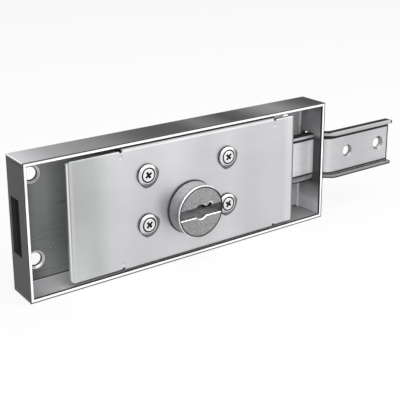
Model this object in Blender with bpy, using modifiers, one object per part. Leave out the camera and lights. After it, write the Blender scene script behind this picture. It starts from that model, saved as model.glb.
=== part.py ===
"""Roller shutter lock: an open steel case with a lever mechanism, a turning head and a cranked bolt.

Metres, +Z up. The lock stands on its long bottom edge and is seen from the front along +Y.
The origin is the middle of the bottom wall's outer face. Depths are measured from the case's
front rim towards the shutter, and heights from the outer face of the bottom wall.
"""
import math

import bmesh
import bpy
from mathutils import Matrix, Vector

MM = 0.001
GAP = 0.3 * MM                        # between pieces that touch or run in each other
OVERSHOOT = 5.0 * MM                  # how far a cutter reaches past what it cuts
ARC_STEPS = 8                         # segments in a quarter of an outline's corner
FINE_STEPS = 48                       # around the turning head and its barrel
ROUND_STEPS = 24                      # around screws, pillars and fixing holes
STUD_STEPS = 16                       # around small studs and their holes

# Case
CASE_LENGTH = 155.0 * MM
CASE_HEIGHT = 58.0 * MM
CASE_DEPTH = 17.0 * MM
CASE_SHEET = 1.5 * MM
CASE_FOLD_RADIUS = 1.9 * MM
SEAM_SIZE = 0.25 * MM                 # width and depth of the corner seams on the end walls
FIXING_HOLE_DIAMETER = 5.5 * MM
FIXING_HOLE_INSET = 10.0 * MM         # from the end wall's outer face
FIXING_HOLE_EDGE = 10.5 * MM           # from the long walls' outer faces
COUNTERSINK_WIDTH = 1.2 * MM
PILOT_HOLE_DIAMETER = 1.2 * MM
PILOT_HOLE_INSET = 17.2 * MM
PILOT_HOLE_Z = 13.6 * MM

# Cover plate
COVER_LENGTH = 118.0 * MM
COVER_CENTRE_X = -0.5 * MM
COVER_SHEET = 1.5 * MM
COVER_END_INSET = 1.4 * MM            # step between the flanged middle and the narrower ends
COVER_CORNER_RADIUS = 2.0 * MM
COVER_END_ROUND = 2.4 * MM            # width of the rounded edge at the right and left ends
COVER_END_DROP = 0.7 * MM             # how far that edge bends back
FLANGE_LEFT_INSET = 24.45 * MM         # from the cover's left end to its flanged middle
FLANGE_RIGHT_INSET = 12.05 * MM
FLANGE_DEPTH = 9.0 * MM
FLANGE_BEND_RADIUS = 1.9 * MM
RELIEF_RADIUS = 0.8 * MM
DIMPLE_RADIUS = 1.1 * MM
DIMPLE_DEPTH = 0.25 * MM
DIMPLE_BOWL = 0.8                     # share of the depth that is reached half way in
DIMPLE_INSET = 2.4 * MM

# Cover screws and their pillars
SCREW_CENTRE_X = -2.2 * MM
SCREW_CENTRE_Z = 0.545 * CASE_HEIGHT
SCREW_SPACING_X = 41.6 * MM
SCREW_SPACING_Z = 0.38 * CASE_HEIGHT
SCREW_DIAMETER = 4.0 * MM
SCREW_HEAD_DIAMETER = 8.3 * MM
SCREW_HEAD_HEIGHT = 2.2 * MM
SCREW_HEAD_EDGE = 0.8 * MM            # straight part of the head's height
SCREW_HEAD_FLAT = 4.9 * MM            # diameter of the flat disc round the recess
HEAD_GROOVE_WIDTH = 0.5 * MM          # shallow ring groove between the disc and the dome
HEAD_GROOVE_DEPTH = 0.3 * MM
SCREW_DOME_STEPS = 4
SCREW_LENGTH = 9.0 * MM
SCREW_TIP_CHAMFER = 0.4 * MM
CROSS_LENGTH = 3.6 * MM
CROSS_WIDTH = 0.9 * MM
CROSS_DEPTH = 1.4 * MM
CROSS_TURNS_DEG = (32, 46, 40, 54)    # from the horizontal, top left screw first
PILLAR_DIAMETER = 7.0 * MM
PILLAR_BORE_DEPTH = 9.5 * MM
RIVET_DIAMETER = 3.6 * MM             # spigots that rivet pillars and posts into the back

# Key way: turning head and barrel
KEY_X = -1.0 * MM
KEY_Z = 0.405 * CASE_HEIGHT
KEY_SLOT_WIDTH = 4.0 * MM
KEY_STEM_DIAMETER = 6.3 * MM
KEY_BIT_RADIUS = 0.164 * CASE_HEIGHT   # reach of the key that fits the lock
KEY_SLOT_LENGTH = 2 * (KEY_BIT_RADIUS + 0.8 * MM)
WARD_RADIUS = 1.0 * MM
WARD_OFFSET = 4.9 * MM
HEAD_DIAMETER = 23.2 * MM
HEAD_HEIGHT = 7.9 * MM
HEAD_CHAMFER = 0.6 * MM
HEAD_RIM_WIDTH = 0.5 * MM
HEAD_FACE_RECESS = 0.4 * MM
HEAD_NECK_DIAMETER = 14.0 * MM
BARREL_DIAMETER = 9.0 * MM
FLANGE_POST_CLEARANCE = 1.1 * MM       # from the barrel's flange to the nearer lever post
BARREL_FLANGE_SHEET = 0.8 * MM
BARREL_SLOT_DEPTH = 9.5 * MM           # behind the flange's front
SEAT_DIAMETER = 14.0 * MM
SEAT_HEIGHT = 4.0 * MM

# Bolt
BOLT_THROW = 15.0 * MM
BOLT_HEIGHT = 0.4 * CASE_HEIGHT
BOLT_DEPTH = 4.5 * MM
BOLT_WEB = 2.0 * MM
BOLT_LIP = 1.5 * MM
BOLT_CENTRE_Z = CASE_HEIGHT / 2 + 0.5 * MM
BOLT_FRONT_DEPTH = 6.1 * MM           # front of the lips, inside the case
BOLT_CRANK = 5.2 * MM                 # how far the outer run stands in front of the inner one
CRANK_GAP = 1.0 * MM                  # between the end wall and the crank
CRANK_LENGTH = 9.2 * MM
CRANK_STEPS = 14
BOLT_REACH = 48.7 * MM                # from the end wall to the bolt's end
BOLT_HOLE_DIAMETER = 5.0 * MM
BOLT_HOLE_INSETS = (7.1 * MM, 29.0 * MM)
BOLT_HOLE_SINKS = (1.2 * MM, 0.6 * MM)
SLOT_CLEARANCE = 0.4 * MM
SLOT_BACK_ROOM = 2.6 * MM             # the slots are deeper than the bolt, for a thicker one

# Tail of the bolt, a flat plate between the rows of pillars
TAIL_START_X = 26.5 * MM
TAIL_LENGTH = 69.5 * MM
TAIL_PILLAR_CLEARANCE = 0.5 * MM
TAIL_KEY_CLEARANCE = 0.5 * MM
TAIL_CORNER_RADIUS = 1.5 * MM
TALON_WIDTH = 6.0 * MM
LUG_WIDTH = 9.0 * MM
LUG_POST_CLEARANCE = 0.5 * MM
STUMP_X = -8.5 * MM
STUMP_Z = 0.655 * CASE_HEIGHT
STUMP_DIAMETER = 4.0 * MM
STUMP_LENGTH = 5.4 * MM
STUMP_SPIGOT_DIAMETER = 2.4 * MM
STUMP_CHAMFER = 0.3 * MM

# Studs that guide the tail, with their spring clips
GUIDE_POSTS = {"left": (-23.0 * MM, 0.578 * CASE_HEIGHT), "right": (46.0 * MM, BOLT_CENTRE_Z)}
GUIDE_DIAMETER = 4.0 * MM
GUIDE_COLLAR_DIAMETER = 8.0 * MM
GUIDE_GROOVE_DIAMETER = 3.0 * MM
GUIDE_TIP = 0.6 * MM
CLIP_DIAMETER = 7.0 * MM
CLIP_SHEET = 0.6 * MM
CLIP_MOUTH_DEG = 70.0

# Levers
LEVER_COUNT = 5
LEVER_SHEET = 0.8 * MM
LEVER_PITCH = 1.1 * MM
LEVER_FRONT_DEPTH = 3.0 * MM
LEVER_LEFT_X = -17.3 * MM
LEVER_RIGHT_X = 13.8 * MM
LEVER_TOP_Z = 0.86 * CASE_HEIGHT
LEVER_BOTTOM_Z = 0.09 * CASE_HEIGHT
LEVER_SHOULDER_X = -9.5 * MM
LEVER_SHOULDER_DROP = 2.8 * MM
LEVER_TRAVEL = 1.5 * MM
LEVER_CORNER_RADIUS = 1.2 * MM
LEVER_OPENING_WIDTH = 21.0 * MM
LEVER_OPENING_HEIGHT = 1.66 * KEY_BIT_RADIUS
LEVER_BITTING = (0.76, 0.90, 0.81, 0.93, 0.74)   # key step under each lever, share of its reach
POCKET_PLAY = 0.8 * MM
LEVER_POSTS = {"upper": 0.776 * CASE_HEIGHT, "lower": 0.164 * CASE_HEIGHT}
LEVER_POST_DIAMETER = 3.0 * MM
LEVER_POST_COLLAR_DIAMETER = 6.0 * MM

# Lever springs on their pin
SPRING_PIN_X = -14.0 * MM
SPRING_PIN_Z = CASE_HEIGHT - 5.8 * MM
SPRING_PIN_DIAMETER = 2.0 * MM
SPRING_WIRE_DIAMETER = 0.5 * MM
SPRING_TIP_X = 10.5 * MM
SPRING_BOW = 0.9 * MM
SPRING_LOOP_POINTS = 12
SPRING_ARM_POINTS = 10

# Worked out from the sizes above
BACK_DEPTH = CASE_DEPTH - CASE_SHEET
WALL_X = CASE_LENGTH / 2
FLANGE_LENGTH = COVER_LENGTH - FLANGE_LEFT_INSET - FLANGE_RIGHT_INSET
FLANGE_CENTRE_X = COVER_CENTRE_X + (FLANGE_LEFT_INSET - FLANGE_RIGHT_INSET) / 2
COVER_HALF_HEIGHT = CASE_HEIGHT / 2 - CASE_SHEET - GAP
COVER_END_HALF_HEIGHT = COVER_HALF_HEIGHT - COVER_END_INSET
BOLT_END_X = WALL_X + BOLT_REACH
BOLT_BACK_DEPTH = BOLT_FRONT_DEPTH + BOLT_DEPTH
TAIL_FRONT_DEPTH = BOLT_BACK_DEPTH - BOLT_WEB
TAIL_ROOM = PILLAR_DIAMETER / 2 + TAIL_PILLAR_CLEARANCE
TAIL_TOP_Z = SCREW_CENTRE_Z + SCREW_SPACING_Z / 2 - TAIL_ROOM
TAIL_BOTTOM_Z = SCREW_CENTRE_Z - SCREW_SPACING_Z / 2 + TAIL_ROOM
LUG_TOP_Z = LEVER_POSTS["upper"] - LEVER_POST_COLLAR_DIAMETER / 2 - LUG_POST_CLEARANCE
BARREL_FLANGE_RADIUS = (KEY_Z - LEVER_POSTS["lower"] - LEVER_POST_DIAMETER / 2
                        - FLANGE_POST_CLEARANCE)
POST_FRONT_DEPTH = COVER_SHEET + GAP
POST_BASE_DEPTH = BACK_DEPTH - GAP
SIDES = (-1, 1)


def depth_y(depth):
    """World Y of a depth behind the front rim."""
    return depth - CASE_DEPTH / 2


def new_collection(name, parent):
    collection = bpy.data.collections.new(name)
    parent.children.link(collection)
    return collection


def new_material(name, colour, roughness, metallic=1.0):
    material = bpy.data.materials.new(name)
    material.use_nodes = True
    shader = material.node_tree.nodes["Principled BSDF"]
    shader.inputs["Base Color"].default_value = (*colour, 1.0)
    shader.inputs["Roughness"].default_value = roughness
    shader.inputs["Metallic"].default_value = metallic
    return material


def clear_scene():
    for thing in list(bpy.data.objects):
        bpy.data.objects.remove(thing, do_unlink=True)


clear_scene()
ROOT = bpy.context.scene.collection
PARTS = new_collection("roller_shutter_lock", ROOT)
CUTTERS = new_collection("cutters", ROOT)

PLATED_STEEL = new_material("plated_steel", (0.56, 0.57, 0.58), 0.32)
SATIN_COVER = new_material("satin_cover", (0.74, 0.74, 0.76), 0.38)
SCREW_STEEL = new_material("screw_steel", (0.70, 0.71, 0.73), 0.25)
HEAD_METAL = new_material("head_metal", (0.42, 0.43, 0.44), 0.45)
BOLT_STEEL = new_material("bolt_steel", (0.66, 0.68, 0.69), 0.30)
BRASS = new_material("brass", (0.72, 0.55, 0.26), 0.30)
SPRING_STEEL = new_material("spring_steel", (0.35, 0.36, 0.38), 0.35)


def arc(x, z, radius, start_deg, end_deg, steps=ARC_STEPS):
    """Points of an arc, both ends included."""
    points = []
    for i in range(steps + 1):
        angle = math.radians(start_deg + (end_deg - start_deg) * i / steps)
        points.append((x + radius * math.cos(angle), z + radius * math.sin(angle)))
    return points


def rounded_box(left, bottom, right, top, radius):
    corners = (
        (right - radius, bottom + radius, -90),
        (right - radius, top - radius, 0),
        (left + radius, top - radius, 90),
        (left + radius, bottom + radius, 180),
    )
    points = []
    for x, z, start in corners:
        points += arc(x, z, radius, start, start + 90, ARC_STEPS // 2)
    return points


def slot_outline(x_low, x_high, z_low, z_high):
    """A slot with round ends along its longer side, between two end centres."""
    width = min(x_high - x_low, z_high - z_low)
    return rounded_box(x_low, z_low, x_high, z_high, width / 2 - 0.01 * MM)


def smooth(thing, angle_deg=35):
    thing.data.shade_smooth()
    thing.data.set_sharp_from_angle(angle=math.radians(angle_deg))


def finish(thing, material, parent=None):
    """Give a piece its material and hang it on its parent empty, where it stands."""
    thing.data.materials.clear()
    thing.data.materials.append(material)
    if parent is not None:
        place = thing.matrix_world.copy()
        thing.parent = parent
        thing.matrix_parent_inverse = Matrix.Identity(4)
        thing.matrix_basis = Matrix.Translation(parent.location).inverted() @ place
    return thing


def new_object(name, mesh, location=(0, 0, 0), rotation=(0, 0, 0), collection=PARTS):
    thing = bpy.data.objects.new(name, mesh)
    collection.objects.link(thing)
    thing.location = location
    thing.rotation_euler = rotation
    if collection is not PARTS:
        thing.hide_render = True
        thing.display_type = "WIRE"
    bpy.context.view_layer.update()
    return thing


def empty(name, location):
    thing = bpy.data.objects.new(name, None)
    PARTS.objects.link(thing)
    thing.location = location
    bpy.context.view_layer.update()
    return thing


def curve_to_mesh(name, curve, location, rotation, collection):
    """A curve made into a closed mesh object in the same place."""
    source = bpy.data.objects.new(name + "_curve", curve)
    collection.objects.link(source)
    source.location = location
    source.rotation_euler = rotation
    bpy.context.view_layer.update()
    evaluated = source.evaluated_get(bpy.context.evaluated_depsgraph_get())
    mesh = bpy.data.meshes.new_from_object(evaluated)
    place = source.matrix_world.copy()
    bpy.data.objects.remove(source, do_unlink=True)
    shape = bmesh.new()
    shape.from_mesh(mesh)
    bmesh.ops.remove_doubles(shape, verts=shape.verts, dist=0.001 * MM)
    shape.to_mesh(mesh)
    shape.free()
    thing = new_object(name, mesh, collection=collection)
    thing.matrix_world = place
    bpy.context.view_layer.update()
    return thing


def extruded(name, outlines, thickness, location, rotation, collection=PARTS):
    """A flat shape with holes, extruded to both sides of its plane."""
    curve = bpy.data.curves.new(name, "CURVE")
    curve.dimensions = "2D"
    curve.fill_mode = "BOTH"
    curve.extrude = thickness / 2
    for outline in outlines:
        spline = curve.splines.new("POLY")
        spline.points.add(len(outline) - 1)
        for point, (u, v) in zip(spline.points, outline):
            point.co = (u, v, 0.0, 1.0)
        spline.use_cyclic_u = True
    return curve_to_mesh(name, curve, location, rotation, collection)


def plate(name, outlines, front_depth, thickness, collection=PARTS):
    """A plate in the plane of the cover, from outlines in X and Z."""
    middle = depth_y(front_depth + thickness / 2)
    return extruded(name, outlines, thickness, (0, middle, 0), (math.pi / 2, 0, 0), collection)


def turned(name, profile, x, z, collection=PARTS, steps=ROUND_STEPS):
    """A turned piece on an axis along Y: profile of (radius, depth), from its back to its front."""
    mesh = bpy.data.meshes.new(name)
    shape = bmesh.new()
    points = [shape.verts.new((radius, 0, depth_y(depth))) for radius, depth in profile]
    for first, second in zip(points, points[1:]):
        shape.edges.new((first, second))
    if profile[0][0] > 0:
        shape.edges.new((points[-1], points[0]))
    shape.to_mesh(mesh)
    shape.free()
    thing = new_object(name, mesh, (x, 0, z), (-math.pi / 2, 0, 0), collection)
    screw = thing.modifiers.new("turn", "SCREW")
    screw.steps = steps
    screw.render_steps = steps
    screw.use_merge_vertices = True
    screw.merge_threshold = 0.001 * MM
    screw.use_smooth_shade = False
    return thing


def box(name, low, high, collection=CUTTERS):
    mesh = bpy.data.meshes.new(name)
    shape = bmesh.new()
    bmesh.ops.create_cube(shape, size=1.0)
    size = Vector(high) - Vector(low)
    bmesh.ops.scale(shape, vec=size, verts=shape.verts)
    shape.to_mesh(mesh)
    shape.free()
    return new_object(name, mesh, (Vector(low) + Vector(high)) / 2, collection=collection)


def drill(name, x, z, radius, front_depth, back_depth, steps=ROUND_STEPS):
    """A round cutter along Y between two depths."""
    profile = [(0, back_depth), (radius, back_depth), (radius, front_depth), (0, front_depth)]
    return turned(name, profile, x, z, CUTTERS, steps)


def cut(thing, *cutters):
    for cutter in cutters:
        boolean = thing.modifiers.new("cut_" + cutter.name, "BOOLEAN")
        boolean.operation = "DIFFERENCE"
        boolean.solver = "EXACT"
        boolean.object = cutter


def join_with(thing, other):
    """Boolean union with a helper solid, which is kept as a guide."""
    boolean = thing.modifiers.new("join_" + other.name, "BOOLEAN")
    boolean.operation = "UNION"
    boolean.solver = "EXACT"
    boolean.object = other


def apply_modifiers(thing):
    """Bake a piece's modifiers into its mesh, so that it can be shaded by angle."""
    bpy.context.view_layer.update()
    evaluated = thing.evaluated_get(bpy.context.evaluated_depsgraph_get())
    mesh = bpy.data.meshes.new_from_object(evaluated)
    thing.modifiers.clear()
    thing.data = mesh


def screw_places():
    """Number, X and Z of the four cover screws, top left first."""
    number = 0
    for row in (1, -1):
        for column in SIDES:
            number += 1
            x = SCREW_CENTRE_X + column * SCREW_SPACING_X / 2
            z = SCREW_CENTRE_Z + row * SCREW_SPACING_Z / 2
            yield number, x, z


def riveted_studs():
    """X and Z of every stud that is riveted into the case's back."""
    studs = [(x, z) for _, x, z in screw_places()]
    studs += list(GUIDE_POSTS.values())
    studs += [(KEY_X, z) for z in LEVER_POSTS.values()]
    studs.append((SPRING_PIN_X, SPRING_PIN_Z))
    return studs


def bolt_slot_box(side):
    """Low and high corner of the bolt slot's cutter in one end wall."""
    half = BOLT_HEIGHT / 2 + SLOT_CLEARANCE
    inner = WALL_X - CASE_SHEET - OVERSHOOT
    outer = WALL_X + OVERSHOOT
    low_x, high_x = sorted((side * inner, side * outer))
    front = depth_y(BOLT_FRONT_DEPTH - SLOT_CLEARANCE)
    back = depth_y(BOLT_BACK_DEPTH + SLOT_BACK_ROOM)
    low = (low_x, front, BOLT_CENTRE_Z - half)
    high = (high_x, back, BOLT_CENTRE_Z + half)
    return low, high


def make_case():
    """Folded tray, open to the front: an open box, thickened inwards and pierced."""
    mesh = bpy.data.meshes.new("case")
    shape = bmesh.new()
    bmesh.ops.create_cube(shape, size=1.0)
    bmesh.ops.scale(shape, vec=(CASE_LENGTH, CASE_DEPTH, CASE_HEIGHT), verts=shape.verts)
    front = [face for face in shape.faces if face.normal.y < -0.5]
    bmesh.ops.delete(shape, geom=front, context="FACES")
    back_edges = [edge for edge in shape.edges if all(v.co.y > 0 for v in edge.verts)]
    bmesh.ops.bevel(
        shape, geom=back_edges, offset=CASE_FOLD_RADIUS, segments=4, profile=0.5,
        affect="EDGES", clamp_overlap=True,
    )
    shape.to_mesh(mesh)
    shape.free()
    case = new_object("case", mesh, (0, 0, CASE_HEIGHT / 2))
    walls = case.modifiers.new("sheet", "SOLIDIFY")
    walls.thickness = CASE_SHEET
    walls.offset = -1
    walls.use_even_offset = True
    for side in SIDES:
        cut(case, box(f"bolt_slot_{side}", *bolt_slot_box(side)))
        hole_x = side * (WALL_X - FIXING_HOLE_INSET)
        for row in SIDES:
            hole_z = CASE_HEIGHT / 2 + row * (CASE_HEIGHT / 2 - FIXING_HOLE_EDGE)
            cut(case, countersunk_hole(f"fixing_hole_{side}_{row}", hole_x, hole_z))
            seam_z = CASE_HEIGHT / 2 + row * (CASE_HEIGHT / 2 - CASE_SHEET)
            seam_x = sorted((side * (WALL_X - SEAM_SIZE), side * (WALL_X + OVERSHOOT)))
            low = (seam_x[0], depth_y(-OVERSHOOT), seam_z - SEAM_SIZE / 2)
            high = (seam_x[1], depth_y(CASE_DEPTH + OVERSHOOT), seam_z + SEAM_SIZE / 2)
            cut(case, box(f"seam_{side}_{row}", low, high))
    rivet_radius = RIVET_DIAMETER / 2 + GAP
    for number, (x, z) in enumerate(riveted_studs()):
        hole = drill(f"rivet_hole_{number}", x, z, rivet_radius, BACK_DEPTH - OVERSHOOT,
                     CASE_DEPTH + OVERSHOOT, STUD_STEPS)
        cut(case, hole)
    pilot = drill("pilot_hole", PILOT_HOLE_INSET - WALL_X, PILOT_HOLE_Z,
                  PILOT_HOLE_DIAMETER / 2, BACK_DEPTH - OVERSHOOT, CASE_DEPTH + OVERSHOOT,
                  STUD_STEPS)
    cut(case, pilot)
    apply_modifiers(case)
    smooth(case)
    return finish(case, PLATED_STEEL)


def countersunk_hole(name, x, z):
    """Cutter of a fixing hole, wider at the back plate's inner face."""
    radius = FIXING_HOLE_DIAMETER / 2
    profile = [
        (0, CASE_DEPTH + OVERSHOOT),
        (radius, CASE_DEPTH + OVERSHOOT),
        (radius, BACK_DEPTH + COUNTERSINK_WIDTH),
        (radius + COUNTERSINK_WIDTH, BACK_DEPTH),
        (radius + COUNTERSINK_WIDTH, BACK_DEPTH - OVERSHOOT),
        (0, BACK_DEPTH - OVERSHOOT),
    ]
    return turned(name, profile, x, z, CUTTERS)


def flanged_sheet():
    """Sheet of the cover's full length, with both long edges folded back."""
    half = COVER_HALF_HEIGHT
    bend = FLANGE_BEND_RADIUS
    section = [(FLANGE_DEPTH, half)]
    for u, v in arc(0, 0, bend, 90, 180, ARC_STEPS // 2):
        section.append((bend + u, half - bend + v))
    section += [(depth, -height) for depth, height in reversed(section)]
    mesh = bpy.data.meshes.new("cover_plate")
    shape = bmesh.new()
    rows = []
    for side in SIDES:
        x = side * COVER_LENGTH / 2
        rows.append([shape.verts.new((x, depth_y(depth), height)) for depth, height in section])
    left, right = rows
    for i in range(len(section) - 1):
        shape.faces.new((left[i], left[i + 1], right[i + 1], right[i]))
    shape.to_mesh(mesh)
    shape.free()
    cover = new_object("cover_plate", mesh, (COVER_CENTRE_X, 0, CASE_HEIGHT / 2))
    sheet = cover.modifiers.new("sheet", "SOLIDIFY")
    sheet.thickness = COVER_SHEET
    sheet.offset = -1
    sheet.use_even_offset = True
    return cover


def key_opening_cutters(name, front_depth, back_depth, round_radius):
    """Cutters for what the key passes: a long slot, and a round hole for its stem or the neck."""
    half = KEY_SLOT_LENGTH / 2
    width = KEY_SLOT_WIDTH / 2
    low = (KEY_X - half, depth_y(front_depth), KEY_Z - width)
    high = (KEY_X + half, depth_y(back_depth), KEY_Z + width)
    slot = box(name + "_slot", low, high)
    middle = drill(name + "_round", KEY_X, KEY_Z, round_radius, front_depth, back_depth, FINE_STEPS)
    return slot, middle


def cover_outline():
    """Outline of the trimmed cover: rounded ends, notched steps, a middle left at full height."""
    half = COVER_END_HALF_HEIGHT
    beyond = COVER_HALF_HEIGHT + OVERSHOOT
    middle_z = CASE_HEIGHT / 2
    radius = COVER_CORNER_RADIUS
    points = []
    for side in (1, -1):
        corner_x = COVER_CENTRE_X + side * (COVER_LENGTH / 2 - radius)
        step_x = FLANGE_CENTRE_X + side * FLANGE_LENGTH / 2
        turn = 0 if side > 0 else 180
        points.append((step_x, middle_z - side * beyond))
        points += arc(step_x, middle_z - side * half, RELIEF_RADIUS, turn - 90, turn - 360, ARC_STEPS)
        for start, row in ((turn - 90, -side), (turn, side)):
            corner_z = middle_z + row * (half - radius)
            points += arc(corner_x, corner_z, radius, start, start + 90, ARC_STEPS // 2)
        points += arc(step_x, middle_z + side * half, RELIEF_RADIUS, turn + 360, turn + 90, ARC_STEPS)
        points.append((step_x, middle_z + side * beyond))
    return points


def cover_end_cutters(side):
    """Cutters that clear the flanges off one end and round its front edge."""
    end_x = COVER_CENTRE_X + side * COVER_LENGTH / 2
    step_x = FLANGE_CENTRE_X + side * FLANGE_LENGTH / 2
    low_x, high_x = sorted((step_x, end_x + side * OVERSHOOT))
    reach = COVER_HALF_HEIGHT + OVERSHOOT
    low = (low_x, depth_y(COVER_SHEET), CASE_HEIGHT / 2 - reach)
    high = (high_x, depth_y(FLANGE_DEPTH + OVERSHOOT), CASE_HEIGHT / 2 + reach)
    clearing = box(f"cover_end_{side}", low, high)
    outline = [(end_x + side * OVERSHOOT, -OVERSHOOT), (end_x + side * OVERSHOOT, COVER_END_DROP)]
    for i in range(ARC_STEPS // 2 + 1):
        angle = math.pi / 2 * i / (ARC_STEPS // 2)
        across = COVER_END_ROUND * (1 - math.cos(angle))
        outline.append((end_x - side * across, COVER_END_DROP * (1 - math.sin(angle))))
    outline.append((end_x - side * COVER_END_ROUND, -OVERSHOOT))
    points = [(x, depth_y(depth)) for x, depth in outline]
    rounding = extruded(f"cover_round_{side}", [points], 2 * reach, (0, 0, CASE_HEIGHT / 2),
                        (0, 0, 0), CUTTERS)
    return clearing, rounding


def make_cover():
    """Satin plate with narrow rounded ends, folded flanges and holes for screws and head."""
    cover = flanged_sheet()
    through = COVER_SHEET + OVERSHOOT
    middle_z = CASE_HEIGHT / 2
    reach_x = COVER_LENGTH / 2 + OVERSHOOT
    reach_z = CASE_HEIGHT
    frame = [(COVER_CENTRE_X + u * reach_x, middle_z + v * reach_z)
             for u, v in ((-1, -1), (1, -1), (1, 1), (-1, 1))]
    trim = plate("cover_trim", [frame, cover_outline()], -OVERSHOOT,
                 FLANGE_DEPTH + 2 * OVERSHOOT, CUTTERS)
    cut(cover, trim)
    for side in SIDES:
        cut(cover, *cover_end_cutters(side))
    for number, x, z in screw_places():
        radius = SCREW_DIAMETER / 2 + GAP
        cut(cover, drill(f"cover_hole_{number}", x, z, radius, -OVERSHOOT, through))
    neck_radius = HEAD_NECK_DIAMETER / 2 + GAP
    cut(cover, *key_opening_cutters("cover_key_way", -OVERSHOOT, through, neck_radius))
    for side in SIDES:
        end_x = FLANGE_CENTRE_X + side * FLANGE_LENGTH / 2
        for row in SIDES:
            edge_z = middle_z + row * COVER_END_HALF_HEIGHT
            cut(cover, dimple(f"dimple_{side}_{row}", end_x, edge_z - row * DIMPLE_INSET))
    apply_modifiers(cover)
    smooth(cover)
    return finish(cover, SATIN_COVER)


def dimple(name, x, z):
    """Cutter of a shallow round punch mark in the cover's face."""
    profile = [
        (0, DIMPLE_DEPTH),
        (DIMPLE_RADIUS / 2, DIMPLE_DEPTH * DIMPLE_BOWL),
        (DIMPLE_RADIUS, 0),
        (DIMPLE_RADIUS, -OVERSHOOT),
        (0, -OVERSHOOT),
    ]
    return turned(name, profile, x, z, CUTTERS, STUD_STEPS)


def make_screw(number, x, z):
    """Pan-head screw: flat disc with a cross recess, ring groove and domed edge; plain shank."""
    head = SCREW_HEAD_DIAMETER / 2
    shank = SCREW_DIAMETER / 2
    flat = SCREW_HEAD_FLAT / 2
    under = -GAP
    shoulder = under - SCREW_HEAD_EDGE
    top = under - SCREW_HEAD_HEIGHT
    chamfer = SCREW_TIP_CHAMFER
    profile = [(0, SCREW_LENGTH), (shank - chamfer, SCREW_LENGTH), (shank, SCREW_LENGTH - chamfer)]
    profile += [(shank, under), (head, under)]
    crown = flat + HEAD_GROOVE_WIDTH
    for step in range(SCREW_DOME_STEPS + 1):
        angle = math.pi / 2 * step / SCREW_DOME_STEPS
        radius = crown + (head - crown) * math.cos(angle)
        profile.append((radius, shoulder + (top - shoulder) * math.sin(angle)))
    profile += [(crown - HEAD_GROOVE_WIDTH / 2, top + HEAD_GROOVE_DEPTH), (flat, top), (0, top)]
    screw = turned(f"cover_screw_{number}", profile, x, z)
    low_y = depth_y(top - OVERSHOOT)
    high_y = depth_y(top + CROSS_DEPTH)
    turn = -math.radians(CROSS_TURNS_DEG[number - 1])
    for arm in range(2):
        blade = box(f"recess_{number}_{arm}", (x - CROSS_LENGTH / 2, low_y, z - CROSS_WIDTH / 2),
                    (x + CROSS_LENGTH / 2, high_y, z + CROSS_WIDTH / 2))
        blade.rotation_euler = (0, turn + arm * math.pi / 2, 0)
        cut(screw, blade)
    apply_modifiers(screw)
    smooth(screw)
    return finish(screw, SCREW_STEEL)


def make_pillar(number, x, z):
    """Threaded pillar that takes a cover screw, riveted into the back."""
    outer = PILLAR_DIAMETER / 2
    bore = SCREW_DIAMETER / 2 + GAP
    floor = POST_FRONT_DEPTH + PILLAR_BORE_DEPTH
    rivet = RIVET_DIAMETER / 2
    profile = [
        (0, CASE_DEPTH), (rivet, CASE_DEPTH), (rivet, POST_BASE_DEPTH),
        (outer, POST_BASE_DEPTH), (outer, POST_FRONT_DEPTH), (bore, POST_FRONT_DEPTH),
        (bore, floor), (0, floor + bore / 2),
    ]
    pillar = turned(f"screw_pillar_{number}", profile, x, z)
    apply_modifiers(pillar)
    smooth(pillar)
    return finish(pillar, PLATED_STEEL)


def make_head(axis):
    """Round front of the key way, with a raised rim, key slot, stem hole and ward notch."""
    radius = HEAD_DIAMETER / 2
    base = -GAP
    face = base - HEAD_HEIGHT
    neck = HEAD_NECK_DIAMETER / 2
    rim = radius - HEAD_CHAMFER - HEAD_RIM_WIDTH
    profile = [
        (0, COVER_SHEET), (neck, COVER_SHEET), (neck, base), (radius, base),
        (radius, face + HEAD_CHAMFER), (radius - HEAD_CHAMFER, face), (rim, face),
        (rim - HEAD_FACE_RECESS / 2, face + HEAD_FACE_RECESS), (0, face + HEAD_FACE_RECESS),
    ]
    head = turned("turning_head", profile, KEY_X, KEY_Z, steps=FINE_STEPS)
    front = face - OVERSHOOT
    back = COVER_SHEET + OVERSHOOT
    cut(head, *key_opening_cutters("head_key_way", front, back, KEY_STEM_DIAMETER / 2))
    ward_z = KEY_Z + KEY_SLOT_WIDTH / 2
    cut(head, drill("ward_notch", KEY_X + WARD_OFFSET, ward_z, WARD_RADIUS, front, back, STUD_STEPS))
    apply_modifiers(head)
    smooth(head)
    return finish(head, HEAD_METAL, axis)


def make_barrel(axis):
    """Slotted barrel behind the head; its flange holds the head to the cover."""
    flange = BARREL_FLANGE_RADIUS
    radius = BARREL_DIAMETER / 2
    front = POST_FRONT_DEPTH
    back = front + BARREL_FLANGE_SHEET
    profile = [
        (0, POST_BASE_DEPTH), (radius, POST_BASE_DEPTH), (radius, back), (flange, back),
        (flange, front), (0, front),
    ]
    barrel = turned("key_barrel", profile, KEY_X, KEY_Z, steps=FINE_STEPS)
    floor = front + BARREL_SLOT_DEPTH
    stem = KEY_STEM_DIAMETER / 2
    cut(barrel, *key_opening_cutters("barrel_key_way", front - OVERSHOOT, floor, stem))
    apply_modifiers(barrel)
    smooth(barrel)
    return finish(barrel, BRASS, axis)


def make_barrel_seat():
    """Ring on the back plate in which the barrel's rear end turns."""
    outer = SEAT_DIAMETER / 2
    inner = BARREL_DIAMETER / 2 + GAP
    front = POST_BASE_DEPTH - SEAT_HEIGHT
    profile = [(outer, POST_BASE_DEPTH), (outer, front), (inner, front), (inner, POST_BASE_DEPTH)]
    seat = turned("barrel_seat", profile, KEY_X, KEY_Z)
    apply_modifiers(seat)
    smooth(seat)
    return finish(seat, BRASS)


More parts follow.
